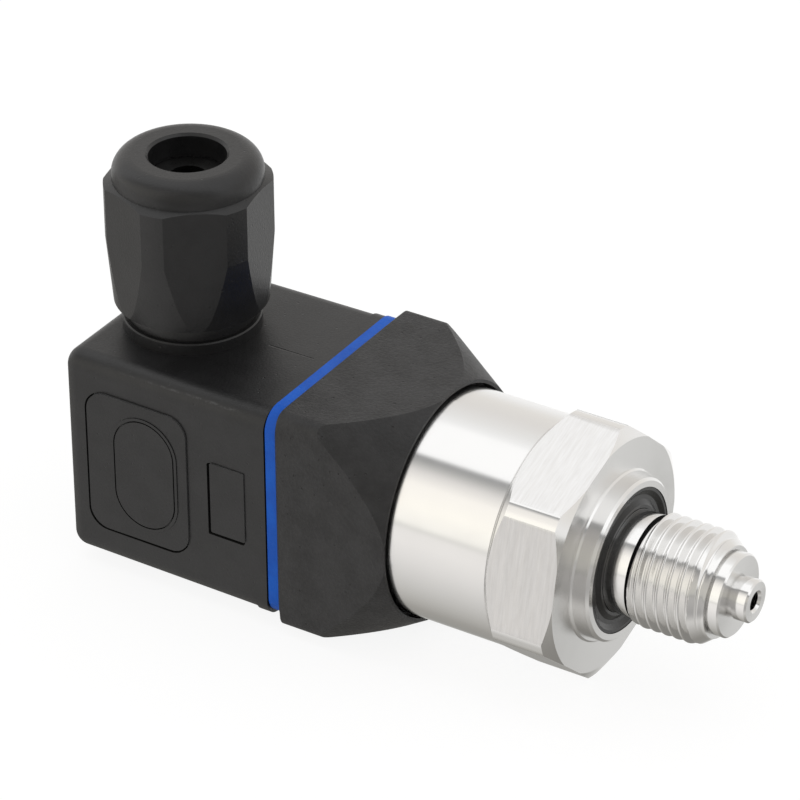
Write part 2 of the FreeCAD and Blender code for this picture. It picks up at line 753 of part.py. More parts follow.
def plug_housing():
    """Right-angle plug: moulded box with a skirt, a gland stem, a room and two plates."""
    body = new_body("plug_housing")
    walls = pushed(body, "walls", plug_outline(body, "wall_outline", plug_front),
                   s.plug_length, backward=True)
    bind(walls, "TaperAngle", -s.plug_draft)
    doc.recompute()
    rear = plug_rear.value
    names = edges_where(walls.Shape, lambda edge: abs(edge.BoundBox.XMax - rear) < 1e-3)
    rounding = body.newObject("PartDesign::Fillet", "rear_rounding")
    rounding.Base = (walls, names)
    bind(rounding, "Radius", s.plug_rear_edge)
    pushed(body, "skirt", plug_outline(body, "skirt_outline", plug_front, s.skirt_step),
           s.skirt_length, backward=True)
    open_joint(body)
    stem(body)
    side_plates(body)
    hole = s.room_half
    sketch = add_sketch(body, "YZ_Plane", "room_outline", plug_front)
    outline(sketch, rounded_box(-hole, hole, -hole, hole, s.room_corner))
    pushed(body, "room", sketch, s.room_length, "Pocket")
    turned(body, "screw_passage", [
        (plug_rear, 0),
        (room_rear, 0),
        (room_rear, s.screw_radius + s.shank_gap),
        (plug_rear + s.head_room_depth, s.screw_radius + s.shank_gap),
        (plug_rear + s.head_room_depth, s.head_room_radius),
        (plug_rear, s.head_room_radius),
    ], "Groove")
    return body


def open_joint(body):
    """Narrow step round the front face, which leaves a joint open beside the gasket."""
    sketch = plug_outline(body, "joint_outline", plug_front, s.skirt_step + s.joint_width)
    inner = s.plug_half + s.skirt_step - s.joint_depth
    low = -s.plug_bottom - s.skirt_step + s.joint_depth
    high = s.plug_top + s.skirt_step - s.joint_depth
    outline(sketch, rounded_box(-inner, inner, low, high, s.plug_corner - s.joint_depth))
    pushed(body, "joint", sketch, s.joint_width, "Pocket")


def stem(body):
    """Collar and threaded stem of the gland, with the cable passage and the seal seat."""
    middle = -s.gland_place
    floor = s.plug_top - s.plug_corner
    collar = circle(add_sketch(body, "XY_Plane", "collar_circle", floor), middle, 0,
                    s.collar_radius)
    collar = pushed(body, "collar", collar, s.plug_corner + s.collar_height)
    doc.recompute()
    top = (s.plug_top + s.collar_height).value
    names = edges_where(collar.Shape, lambda edge: abs(edge.BoundBox.ZMin - top) < 1e-3)
    edge = body.newObject("PartDesign::Chamfer", "collar_chamfer")
    edge.Base = (collar, names)
    bind(edge, "Size", s.collar_edge)
    column = circle(add_sketch(body, "XY_Plane", "stem_circle", floor), middle, 0, s.stem_radius)
    pushed(body, "stem", column, s.stem_top - floor)
    seat = circle(add_sketch(body, "XY_Plane", "seat_circle", s.stem_top), middle, 0, s.seat_radius)
    pushed(body, "seal_seat", seat, s.stem_top - s.seat_bottom, "Pocket")
    passage = circle(add_sketch(body, "XY_Plane", "passage_circle", s.seat_bottom), middle, 0,
                     s.passage_radius)
    pushed(body, "cable_passage", passage, s.seat_bottom - s.room_half + s.room_corner, "Pocket")


def oval(sketch, smaller=0.0):
    """Upright oval on the large plate, drawn in from its edge where a groove runs."""
    radius = s.oval_radius - smaller
    straight = s.oval_half_length - s.oval_radius
    middle = -s.oval_place
    return outline(sketch, [
        (middle + radius, -straight),
        (middle + radius, straight, radius, 1),
        (middle, straight + radius, radius, 1),
        (middle - radius, straight),
        (middle - radius, -straight, radius, 1),
        (middle, -straight - radius, radius, 1),
    ])


def side_plates(body):
    """Bare raised plates on the side of the plug, each in a seat that leaves a groove open
    behind and below it: a large one with a grooved oval, and a small one."""
    inside = s.plug_half - s.plate_corner
    seat = s.plug_half - s.seam_depth
    outside = s.plug_half + s.plate_height + s.oval_height
    plates = [
        ("plate", -s.plate_rear, -s.plate_front, s.plate_half, s.plate_corner),
        ("tag", -s.tag_rear, -s.tag_front, s.tag_half, s.edge_break),
    ]
    for name, left, right, half, corner in plates:
        sketch = add_sketch(body, "XZ_Plane", f"{name}_seat_outline", outside)
        outline(sketch, rounded_box(left - s.seam_width, right, -half - s.seam_width, half, corner))
        pushed(body, f"{name}_seat", sketch, outside - seat, "Pocket")
        sketch = add_sketch(body, "XZ_Plane", f"{name}_outline", inside)
        outline(sketch, rounded_box(left, right, -half, half, corner))
        pushed(body, name, sketch, s.plug_half - inside + s.plate_height)
    pushed(body, "oval", oval(add_sketch(body, "XZ_Plane", "oval_outline", inside)),
           outside - inside)
    sketch = oval(add_sketch(body, "XZ_Plane", "oval_groove_outline", outside), s.oval_rim)
    oval(sketch, s.oval_rim + s.oval_groove)
    pushed(body, "oval_groove", sketch, s.oval_groove_depth, "Pocket")


def terminal_carrier():
    """Block inside the plug that carries the four receptacles."""
    body = new_body("terminal_carrier")
    half = s.room_half - s.carrier_gap
    sketch = add_sketch(body, "YZ_Plane", "block_outline", -s.carrier_front)
    outline(sketch, rounded_box(-half, half, -half, half, s.room_corner))
    pushed(body, "block", sketch, s.carrier_length, backward=True)
    centre = circle(add_sketch(body, "YZ_Plane", "shank_circle", -s.carrier_front), 0, 0,
                    s.screw_radius + s.shank_gap)
    pushed(body, "shank_hole", centre, s.carrier_length, "Pocket")
    for label, angle in CONTACTS:
        slot = outline(add_sketch(body, "YZ_Plane", f"slot_{label}_outline", -s.carrier_front),
                       contact_box(angle, s.cell_width, s.cell_height))
        pushed(body, f"slot_{label}", slot, s.carrier_length, "Pocket")
    return body


def receptacle(label, angle):
    """Brass sleeve that grips a contact blade, closed and drilled at its rear end."""
    body = new_body(f"receptacle_{label}")
    wide = s.cell_width - s.slip * 2
    high = s.cell_height - s.slip * 2
    block = outline(add_sketch(body, "YZ_Plane", "sleeve_outline", -s.carrier_front),
                    contact_box(angle, wide, high))
    pushed(body, "sleeve", block, s.carrier_length, backward=True)
    mouth = outline(add_sketch(body, "YZ_Plane", "mouth_outline", -s.carrier_front),
                    contact_box(angle, wide - s.receptacle_wall * 2, high - s.receptacle_wall * 2))
    pushed(body, "mouth", mouth, s.carrier_length - s.receptacle_back, "Pocket")
    y, z = around(angle)
    drilling = circle(add_sketch(body, "YZ_Plane", "screw_circle", carrier_rear),
                      s.contact_circle * y, s.contact_circle * z, s.terminal_radius + s.slip)
    pushed(body, "screw_hole", drilling, s.receptacle_back, "Pocket", True)
    return body


def terminal_screw(label, angle):
    """Small screw in the rear end of a receptacle."""
    body = new_body(f"terminal_screw_{label}")
    y, z = around(angle)
    centre = (s.contact_circle * y, s.contact_circle * z)
    head = circle(add_sketch(body, "YZ_Plane", "head_circle", carrier_rear), *centre,
                  s.terminal_head)
    pushed(body, "head", head, s.terminal_head_length, backward=True)
    shank = circle(add_sketch(body, "YZ_Plane", "shank_circle", carrier_rear), *centre,
                   s.terminal_radius)
    pushed(body, "shank", shank, s.terminal_length)
    return body


def retaining_screw():
    """Long screw through the plug into the threaded insert, with a slotted head."""
    body = new_body("retaining_screw")
    seat = plug_rear + s.head_room_depth - s.sealing_thickness
    rear = seat - s.screw_head_length
    front = -s.adapter_rear + s.screw_reach
    turned(body, "screw", [
        (rear, 0),
        (front, 0),
        (front, s.screw_radius - s.edge_break),
        (front - s.edge_break, s.screw_radius),
        (seat, s.screw_radius),
        (seat, s.screw_head_radius),
        (rear + s.edge_break, s.screw_head_radius),
        (rear, s.screw_head_radius - s.edge_break),
    ])
    reach = s.screw_head_radius + s.edge_break
    half = s.slot_width / 2
    slot = outline(add_sketch(body, "YZ_Plane", "slot_outline", rear),
                   [(-reach, -half), (reach, -half), (reach, half), (-reach, half)])
    pushed(body, "slot", slot, s.slot_depth, "Pocket", True)
    return body


def screw_washer():
    """Sealing washer under the head of the retaining screw."""
    body = new_body("screw_washer")
    floor = plug_rear + s.head_room_depth
    inner = s.screw_radius + s.slip
    outer = s.head_room_radius - s.slip
    turned(body, "washer", [
        (floor - s.sealing_thickness, inner),
        (floor, inner),
        (floor, outer),
        (floor - s.sealing_thickness, outer),
    ])
    return body


def gland_seal():
    """Rubber bush in the seat of the stem, with a raised middle that shows in the opening."""
    body = new_body("gland_seal")
    stand_on_gland(body)
    radius = s.seat_radius - s.slip
    middle = s.nut_opening - s.slip * 2
    upright(body, "bush", [
        (s.bush_hole, s.seat_bottom),
        (radius, s.seat_bottom),
        (radius, s.bush_shoulder),
        (middle, s.bush_shoulder),
        (middle, s.bush_top),
        (s.bush_hole, s.bush_top),
    ])
    return body


def gland_washer():
    """Thrust washer between the nut and the gland seal."""
    body = new_body("gland_washer")
    stand_on_gland(body)
    upright(body, "washer", [
        (s.washer_hole, s.bush_shoulder),
        (s.washer_radius, s.bush_shoulder),
        (s.washer_radius, s.washer_top),
        (s.washer_hole, s.washer_top),
    ])
    return body


def gland_nut():
    """Domed cap nut: hexagon with turned corners that taper down to the foot."""
    body = new_body("gland_nut")
    stand_on_gland(body)
    flats = hexagon(add_sketch(body, "XY_Plane", "hexagon_outline", s.nut_bottom), s.nut_across,
                    s.nut_turn)
    pushed(body, "hexagon", flats, s.nut_shoulder_top - s.nut_bottom)
    beyond = s.nut_corner_radius + s.nut_dome
    upright(body, "hexagon_turning", [
        (s.nut_foot_radius, s.nut_bottom),
        (beyond, s.nut_bottom),
        (beyond, s.nut_shoulder_top),
        (s.nut_ring_radius, s.nut_shoulder_top),
        (s.nut_corner_radius, s.nut_shoulder),
        (s.nut_corner_radius, s.nut_taper_start),
    ], "Groove")
    inside = s.stem_radius + s.thread_gap
    upright(body, "dome", [
        (s.nut_opening, s.nut_shoulder_top - s.nut_dome),
        (s.nut_ring_radius, s.nut_shoulder_top - s.nut_dome),
        (s.nut_ring_radius, s.nut_top - s.nut_dome, s.nut_dome, 1),
        (s.nut_ring_radius - s.nut_dome, s.nut_top),
        (s.nut_opening + s.nut_opening_edge, s.nut_top),
        (s.nut_opening, s.nut_top - s.nut_opening_edge),
    ])
    upright(body, "inside", [
        (0, s.nut_bottom),
        (inside, s.nut_bottom),
        (inside, s.washer_top),
        (s.nut_opening, s.washer_top),
        (s.nut_opening, s.nut_top),
        (0, s.nut_top),
    ], "Groove")
    return body


pieces = [
    process_connection(),
    profile_seal(),
    housing_tube(),
    round_ring("cell_seal", room_floor - s.ring_section / 2, s.cell_ring_radius, s.ring_section),
    sensor_cell(),
    cell_clamp_ring(),
    board_spacer(),
    amplifier_board(),
    adapter_housing(),
    round_ring("boss_seal", -s.ring_place, can_inside - s.slip - s.ring_section / 2,
               s.ring_section),
    threaded_insert(),
    plug_gasket(),
    plug_housing(),
    terminal_carrier(),
    retaining_screw(),
    screw_washer(),
    gland_seal(),
    gland_washer(),
    gland_nut(),
]
for contact, direction in CONTACTS:
    pieces.append(contact_blade(contact, direction))
    pieces.append(receptacle(contact, direction))
    pieces.append(terminal_screw(contact, direction))

doc.recompute()


def check(document):
    """Stop before anything is written if an object failed or a cut took nothing away."""
    for item in document.Objects:
        if {"Invalid", "Error"} & set(item.State):
            raise RuntimeError(f"{item.Name} failed: {item.State}")
        if item.TypeId in ("PartDesign::Pocket", "PartDesign::Groove"):
            if item.Shape.Volume >= item.BaseFeature.Shape.Volume - 1e-6:
                raise RuntimeError(f"{item.Name} cuts nothing")
    for piece in pieces:
        if piece.Shape.isNull() or not piece.Shape.isValid():
            raise RuntimeError(f"{piece.Label} is not a valid solid")


check(doc)
os.makedirs("parts", exist_ok=True)
for piece in pieces:
    piece.Shape.exportStep(f"parts/{piece.Label}.step")
    print(f"{piece.Label:24s} solids {len(piece.Shape.Solids)} volume {piece.Shape.Volume:9.2f}")
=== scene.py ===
"""Looks, camera and studio of the pressure transmitter. Metres, +X out of the tip, +Z up."""
import math

import bmesh
import bpy
from mathutils import Matrix, Vector


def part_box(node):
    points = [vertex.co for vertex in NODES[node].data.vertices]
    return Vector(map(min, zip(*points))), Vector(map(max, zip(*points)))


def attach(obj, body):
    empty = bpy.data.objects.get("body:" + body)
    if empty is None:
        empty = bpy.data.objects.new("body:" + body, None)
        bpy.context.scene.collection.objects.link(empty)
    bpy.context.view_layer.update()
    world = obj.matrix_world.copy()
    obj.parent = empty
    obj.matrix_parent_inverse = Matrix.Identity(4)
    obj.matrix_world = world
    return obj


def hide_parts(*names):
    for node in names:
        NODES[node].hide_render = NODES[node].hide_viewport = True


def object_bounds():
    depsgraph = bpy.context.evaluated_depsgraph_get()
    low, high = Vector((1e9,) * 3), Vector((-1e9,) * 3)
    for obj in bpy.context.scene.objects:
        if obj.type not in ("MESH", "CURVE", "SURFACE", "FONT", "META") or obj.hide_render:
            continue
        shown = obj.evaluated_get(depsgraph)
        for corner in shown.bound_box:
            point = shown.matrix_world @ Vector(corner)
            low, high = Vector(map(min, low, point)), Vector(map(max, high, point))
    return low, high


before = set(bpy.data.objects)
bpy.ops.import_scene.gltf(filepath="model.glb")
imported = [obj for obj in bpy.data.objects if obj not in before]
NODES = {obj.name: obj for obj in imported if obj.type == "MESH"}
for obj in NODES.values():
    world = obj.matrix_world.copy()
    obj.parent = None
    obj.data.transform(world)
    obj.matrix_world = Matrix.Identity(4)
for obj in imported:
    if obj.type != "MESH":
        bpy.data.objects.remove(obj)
cad_low, cad_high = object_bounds()

MM = 0.001
WELD = 1e-6
SHARP_ANGLE = math.radians(28)
CONTACTS = ("1", "2", "3", "ground")

# The camera that the photograph was taken with, as fitted to the object
CAMERA_PLACE = Vector((0.199502, -0.364684, 0.274214))
CAMERA_AZIMUTH = math.radians(32.177)
CAMERA_ELEVATION = math.radians(31.400)
CAMERA_ROLL = math.radians(-0.358)
CAMERA_LENS = 202.5
CAMERA_SENSOR = 36.0
CAMERA_NEAR = 0.01
CAMERA_FAR = 10.0

# Floor: half its side, how pale it is to the object and to the camera, and its own glow
FLOOR_SIZE = 3.0
FLOOR_PALE = 0.75
FLOOR_FAINT = 0.14
FLOOR_GLOW = 0.89

# How far ground and turned steel draw light out across their lines, and the turn to cross them
DRAWN_OUT = 0.9
QUARTER_TURN = 0.25

# Most of a noise lies between these values
NOISE_LOW = 0.3
NOISE_HIGH = 0.7

# Marks on the plug in millimetres: parting line between collar and skirt with painted shade, and a
# painted highlight along the top edge
PARTING_X = (-47.3, -41.3)
PARTING_Y = (-0.28, -0.12)
PARTING_HEIGHT = (12.8, 14.5)
PARTING_DEPTH = 0.12
PARTING_SHADE = (0.0004, 0.0004, 0.0004)
TOP_HIGHLIGHT_X = (-62.5, -44.0)
TOP_HIGHLIGHT_Y = (-13.25, -12.85)
TOP_HIGHLIGHT_Z = (12.15, 12.55)
TOP_HIGHLIGHT_COLOUR = (0.075, 0.075, 0.078)

# Light of the studio round the X axis: angle from +Y towards +Z in degrees, then its colour
STEEL_REFLECTS = 0.80
STUDIO_BANDS = [
    (-180, (0.70, 0.69, 0.66)),
    (-176, (0.80, 0.78, 0.76)),
    (-165, (0.80, 0.78, 0.76)),
    (-144, (0.70, 0.685, 0.67)),
    (-120, (0.56, 0.55, 0.535)),
    (-96, (0.42, 0.41, 0.39)),
    (-78, (0.31, 0.30, 0.28)),
    (-56, (0.27, 0.265, 0.25)),
    (-46, (0.46, 0.455, 0.44)),
    (-34, (0.82, 0.82, 0.81)),
    (-6, (0.79, 0.785, 0.78)),
    (14, (0.71, 0.69, 0.66)),
    (36, (0.68, 0.66, 0.64)),
    (56, (0.75, 0.745, 0.735)),
    (66, (0.83, 0.83, 0.83)),
    (72, (0.95, 0.95, 0.95)),
    (107, (0.95, 0.95, 0.95)),
    (111, (0.30, 0.30, 0.30)),
    (115, (0.34, 0.34, 0.335)),
    (126, (0.70, 0.68, 0.66)),
    (138, (0.93, 0.90, 0.85)),
    (158, (1.00, 0.97, 0.90)),
    (175, (0.93, 0.91, 0.86)),
    (180, (0.70, 0.69, 0.66)),
]
# Darker parts of the studio: direction, light left, inner and outer angle in degrees
DARK_PARTS = [
    ((0.50, -0.75, 0.10), 0.50, 35, 57),
    ((0.50, 0.45, -0.75), 0.74, 10, 50),
]


def add_node(tree, kind, settings=None, inputs=None):
    """A node with its settings. An input is a value or the socket that feeds it."""
    node = tree.nodes.new(kind)
    for name, value in (settings or {}).items():
        setattr(node, name, value)
    for name, value in (inputs or {}).items():
        socket = node.inputs[name]
        if isinstance(value, bpy.types.NodeSocket):
            tree.links.new(value, socket)
        else:
            socket.default_value = value
    return node


def calculate(tree, operation, first, second=0.0, third=0.0):
    """Result of a math node."""
    node = add_node(tree, "ShaderNodeMath", {"operation": operation},
                    {0: first, 1: second, 2: third})
    return node.outputs[0]


def spread(tree, value, low, high, start, stop):
    """A value's way from low to high, smoothed, as one from start to stop."""
    node = add_node(tree, "ShaderNodeMapRange", {"interpolation_type": "SMOOTHSTEP"},
                    {0: value, 1: low, 2: high, 3: start, 4: stop})
    return node.outputs[0]


def place_in_mm(tree):
    """Position on the object in its own frame, in millimetres."""
    place = add_node(tree, "ShaderNodeTexCoord").outputs["Object"]
    scaled = add_node(tree, "ShaderNodeVectorMath", {"operation": "SCALE"},
                      {0: place, "Scale": 1.0 / MM})
    return scaled.outputs[0]


def stretched(tree, place, factors):
    return add_node(tree, "ShaderNodeVectorMath", {"operation": "MULTIPLY"},
                    {0: place, 1: factors}).outputs[0]


def noise(tree, place, scale, detail=3.0, roughness=0.55):
    return add_node(tree, "ShaderNodeTexNoise", None,
                    {"Vector": place, "Scale": scale, "Detail": detail,
                     "Roughness": roughness}).outputs["Fac"]


def bump(tree, height, depth_mm, normal=None):
    inputs = {"Strength": 1.0, "Distance": depth_mm * MM, "Height": height}
    if normal is not None:
        inputs["Normal"] = normal
    return add_node(tree, "ShaderNodeBump", None, inputs).outputs[0]


def tinted(tree, value, dark, light):
    """Colour between two, by a value from 0 to 1."""
    node = add_node(tree, "ShaderNodeMix", {"data_type": "RGBA"},
                    {0: value, 6: (*dark, 1), 7: (*light, 1)})
    return node.outputs[2]


def new_material(name):
    material = bpy.data.materials.new(name)
    material.use_nodes = True
    return material, material.node_tree, material.node_tree.nodes["Principled BSDF"]


def feed(tree, shader, **sources):
    """Link sockets to the inputs of a shader."""
    for name, source in sources.items():
        tree.links.new(source, shader.inputs[name.replace("_", " ")])


def within(tree, value, limits, soft):
    """1 where a value lies between two limits and 0 outside, with soft edges."""
    low, high = limits
    rising = spread(tree, value, low - soft, low + soft, 0.0, 1.0)
    falling = spread(tree, value, high - soft, high + soft, 1.0, 0.0)
    return calculate(tree, "MULTIPLY", rising, falling)


def lay_over(tree, shader, shares, colour):
    """Lay a colour over a shader's base colour where all the shares are 1."""
    share = 1.0
    for part in shares:
        share = calculate(tree, "MULTIPLY", part, share)
    under = shader.inputs["Base Color"].links[0].from_socket
    mixed = add_node(tree, "ShaderNodeMix", {"data_type": "RGBA"},
                     {0: share, 6: under, 7: (*colour, 1)})
    feed(tree, shader, Base_Color=mixed.outputs[2])


def along_cut(tree, place):
    """Distance along a turned surface's own profile: it changes on cylinders and on faces."""
    face_weight = 1.37
    parts = add_node(tree, "ShaderNodeSeparateXYZ", None, {0: place})
    radius = calculate(tree, "SQRT", calculate(
        tree, "MULTIPLY_ADD", parts.outputs[1], parts.outputs[1],
        calculate(tree, "MULTIPLY", parts.outputs[2], parts.outputs[2])))
    sum_of_both = calculate(tree, "MULTIPLY_ADD", radius, face_weight, parts.outputs[0])
    return add_node(tree, "ShaderNodeCombineXYZ", None, {0: sum_of_both}).outputs[0]


def turned_steel(name, roughness, drawn_out, line_depth):
    """Stainless steel with the fine lines that a lathe leaves, which draw light out across them."""
    material, tree, shader = new_material(name)
    place = place_in_mm(tree)
    profile = along_cut(tree, place)
    lines = noise(tree, profile, 9.0, 4.0, 0.7)
    cloud = noise(tree, place, 0.35, 2.0)
    mixed = calculate(tree, "MULTIPLY_ADD", cloud, 0.4, calculate(tree, "MULTIPLY", lines, 0.6))
    round_the_axis = add_node(tree, "ShaderNodeVectorMath", {"operation": "CROSS_PRODUCT"},
                              {0: (1, 0, 0), 1: place}).outputs[0]
    shader.inputs["Metallic"].default_value = 1.0
    shader.inputs["Anisotropic"].default_value = drawn_out
    shader.inputs["Anisotropic Rotation"].default_value = QUARTER_TURN
    feed(tree, shader,
         Base_Color=tinted(tree, lines, (0.79, 0.785, 0.775), (0.855, 0.85, 0.842)),
         Roughness=spread(tree, mixed, NOISE_LOW, NOISE_HIGH, roughness * 0.8, roughness * 1.25),
         Normal=bump(tree, lines, line_depth), Tangent=round_the_axis)
    return material


def brushed_steel(name):
    """Flats ground across the axis: short streaks, each a little brighter or darker."""
    material, tree, shader = new_material(name)
    place = place_in_mm(tree)
    streaks = noise(tree, stretched(tree, place, (1.7, 0.10, 0.10)), 1.0, 3.0, 0.75)
    fine = noise(tree, stretched(tree, place, (4.2, 0.35, 0.35)), 1.0, 2.0, 0.6)
    both = calculate(tree, "MULTIPLY_ADD", fine, 0.45, calculate(tree, "MULTIPLY", streaks, 0.55))
    shader.inputs["Metallic"].default_value = 1.0
    shader.inputs["Anisotropic"].default_value = DRAWN_OUT
    feed(tree, shader,
         Base_Color=tinted(tree, spread(tree, both, NOISE_LOW, NOISE_HIGH, 0.0, 1.0),
                           (0.76, 0.75, 0.738), (0.88, 0.875, 0.87)),
         Roughness=spread(tree, streaks, NOISE_LOW, NOISE_HIGH, 0.30, 0.40),
         Normal=bump(tree, both, 0.009),
         Tangent=add_node(tree, "ShaderNodeCombineXYZ", None, {0: 1.0}).outputs[0])
    return material


def moulded_plastic(name, dark, light, roughness, grain, grain_depth, flaws=0.0, shine=0.5):
    """Moulded plastic or rubber: fine grain, soft clouds, and a few specks and pits."""
    material, tree, shader = new_material(name)
    shader.inputs["Specular IOR Level"].default_value = shine
    place = place_in_mm(tree)
    texture = noise(tree, place, grain, 4.0, 0.6)
    cloud = noise(tree, place, 0.28, 3.0)
    height = bump(tree, texture, grain_depth)
    colour = tinted(tree, spread(tree, cloud, 0.35, 0.65, 0.0, 1.0), dark, light)
    if flaws:
        cells = add_node(tree, "ShaderNodeTexVoronoi", None,
                         {"Vector": place, "Scale": 0.75, "Randomness": 1.0})
        pits = spread(tree, cells.outputs["Distance"], 0.02, 0.13, 0.0, 1.0)
        height = bump(tree, pits, flaws, height)
    feed(tree, shader, Base_Color=colour, Normal=height,
         Roughness=spread(tree, texture, NOISE_LOW, NOISE_HIGH, roughness * 0.9, roughness * 1.12))
    return material


def plated_metal(name, dark, light, roughness):
    """Stamped or turned small parts with a plated, slightly cloudy surface."""
    material, tree, shader = new_material(name)
    place = place_in_mm(tree)
    cloud = noise(tree, place, 1.6, 4.0)
    lines = noise(tree, stretched(tree, place, (12.0, 1.5, 1.5)), 1.0, 3.0)
    shader.inputs["Metallic"].default_value = 1.0
    feed(tree, shader, Base_Color=tinted(tree, cloud, dark, light),
         Roughness=spread(tree, cloud, NOISE_LOW, NOISE_HIGH, roughness * 0.8, roughness * 1.3),
         Normal=bump(tree, lines, 0.006))
    return material


def circuit_board(name):
    """Green solder mask with tracks under it."""
    material, tree, shader = new_material(name)
    place = place_in_mm(tree)
    tracks = add_node(tree, "ShaderNodeTexWave", {"bands_direction": "Y"},
                      {"Vector": place, "Scale": 0.6, "Distortion": 3.0, "Detail": 1.0})
    shader.inputs["Roughness"].default_value = 0.25
    feed(tree, shader,
         Base_Color=tinted(tree, spread(tree, tracks.outputs["Fac"], 0.75, 0.8, 0.0, 1.0),
                           (0.012, 0.10, 0.035), (0.04, 0.22, 0.08)),
         Normal=bump(tree, tracks.outputs["Fac"], 0.02))
    return material


def add_plug_marks(material):
    """The plug's parting line between collar and skirt, a bumped groove with painted shade, and a
    painted highlight along its top edge.
    """
    tree = material.node_tree
    shader = tree.nodes["Principled BSDF"]
    place = place_in_mm(tree)
    parts = add_node(tree, "ShaderNodeSeparateXYZ", None, {0: place})
    x, y, z = parts.outputs[0], parts.outputs[1], parts.outputs[2]
    # Parting line: a shallow bumped groove, with painted shade in near-black along it on collar and
    # skirt
    line = calculate(tree, "MULTIPLY", within(tree, x, PARTING_X, 0.05),
                     within(tree, y, PARTING_Y, 0.07))
    feed(tree, shader,
         Normal=bump(tree, calculate(tree, "SUBTRACT", 1.0, line), PARTING_DEPTH,
                     shader.inputs["Normal"].links[0].from_socket))
    outside = within(tree, calculate(tree, "ABSOLUTE", z), PARTING_HEIGHT, 0.05)
    lay_over(tree, shader, (line, outside), PARTING_SHADE)
    # Painted highlight: a lighter, broken line along the near top edge, where its rounding catches
    # light
    highlight_noise = spread(tree, noise(tree, place, 1.3, 4.0, 0.7), 0.44, 0.62, 0.08, 1.0)
    highlight_shares = (highlight_noise, within(tree, x, TOP_HIGHLIGHT_X, 2.0), within(tree, y, TOP_HIGHLIGHT_Y, 0.12),
            within(tree, z, TOP_HIGHLIGHT_Z, 0.12))
    lay_over(tree, shader, highlight_shares, TOP_HIGHLIGHT_COLOUR)


def cover(piece, material):
    """Give a piece a material in place of those that it came with."""
    piece.data.materials.clear()
    piece.data.materials.append(material)


# Materials

steel_can = turned_steel("drawn_steel", roughness=0.15, drawn_out=DRAWN_OUT, line_depth=0.0015)
steel_turned = turned_steel("turned_steel", roughness=0.11, drawn_out=0.0, line_depth=0.0005)
steel_faced = turned_steel("faced_steel", roughness=0.22, drawn_out=DRAWN_OUT, line_depth=0.0012)
steel_flats = brushed_steel("brushed_steel")
plug_black = moulded_plastic("plug_plastic", (0.0080, 0.0080, 0.0086), (0.0120, 0.0120, 0.0128),
                             roughness=0.40, grain=3.6, grain_depth=0.022, flaws=0.03)
add_plug_marks(plug_black)
nut_black = moulded_plastic("nut_plastic", (0.0080, 0.0080, 0.0086), (0.0115, 0.0115, 0.0123),
                            roughness=0.34, grain=3.4, grain_depth=0.026, flaws=0.03)
adapter_black = moulded_plastic("adapter_plastic", (0.0115, 0.0112, 0.0118),
                                (0.0215, 0.0212, 0.0222),
                                roughness=0.50, grain=2.8, grain_depth=0.095, flaws=0.12)
gasket_blue = moulded_plastic("gasket_rubber", (0.0008, 0.090, 0.52), (0.0015, 0.112, 0.60),
                              roughness=0.55, grain=3.0, grain_depth=0.012, flaws=0.03,
                              shine=0.32)
seal_black = moulded_plastic("seal_rubber", (0.004, 0.004, 0.004), (0.008, 0.008, 0.008),
                             roughness=0.30, grain=2.2, grain_depth=0.010)
carrier_grey = moulded_plastic("carrier_plastic", (0.035, 0.035, 0.037), (0.05, 0.05, 0.052),
                               roughness=0.42, grain=4.0, grain_depth=0.012)
spacer_natural = moulded_plastic("spacer_plastic", (0.62, 0.60, 0.54), (0.70, 0.68, 0.62),
                                 roughness=0.45, grain=3.0, grain_depth=0.012)
cell_white = moulded_plastic("cell_ceramic", (0.80, 0.79, 0.75), (0.86, 0.85, 0.82),
                             roughness=0.40, grain=8.0, grain_depth=0.004)
# Painted shade: near-black for the steel body's relief groove and the seams beside the plug's plates
seam_painted_shade = moulded_plastic("seam_shade", (0.001, 0.001, 0.001), (0.002, 0.002, 0.002),
                             roughness=0.9, grain=4.0, grain_depth=0.004)
# Painted highlight: lighter grey for the plates' upper and right walls, where their edges catch light
edge_painted_highlight = moulded_plastic("edge_highlight_plastic", (0.055, 0.055, 0.057), (0.065, 0.065, 0.067),
                             roughness=0.60, grain=3.6, grain_depth=0.022)
tinned = plated_metal("tinned_brass", (0.62, 0.61, 0.57), (0.72, 0.71, 0.68), roughness=0.26)
insert_brass = plated_metal("insert_brass", (0.62, 0.45, 0.20), (0.72, 0.55, 0.27),
                            roughness=0.24)
zinc = plated_metal("zinc_plate", (0.55, 0.56, 0.57), (0.66, 0.67, 0.69), roughness=0.28)
board_green = circuit_board("board")

NODE_MATERIALS = {
    "profile_seal": seal_black,
    "housing_tube": steel_can,
    "cell_seal": seal_black,
    "sensor_cell": cell_white,
    "cell_clamp_ring": steel_turned,
    "board_spacer": spacer_natural,
    "amplifier_board": board_green,
    "adapter_housing": adapter_black,
    "boss_seal": seal_black,
    "threaded_insert": insert_brass,
    "plug_gasket": gasket_blue,
    "terminal_carrier": carrier_grey,
    "screw_washer": seal_black,
    "gland_seal": seal_black,
    "gland_washer": carrier_grey,
    "gland_nut": nut_black,
}
for contact in CONTACTS:
    NODE_MATERIALS[f"contact_blade_{contact}"] = tinned
    NODE_MATERIALS[f"receptacle_{contact}"] = tinned
    NODE_MATERIALS[f"terminal_screw_{contact}"] = zinc
for node_name, material in NODE_MATERIALS.items():
    cover(NODES[node_name], material)


# Threads: a rounded V, its depth and rounding as shares of the pitch

HALF_FLANK = math.radians(27.5)
DEPTH_SHARE = 0.640327
ROUND_SHARE = 0.137329
# How near to its end a face belongs to a band, how far out, and how near a ring is to its place
BAND_MARGIN = 0.002 * MM
BAND_OUTER = 0.1 * MM
RING_REACH = 0.01 * MM


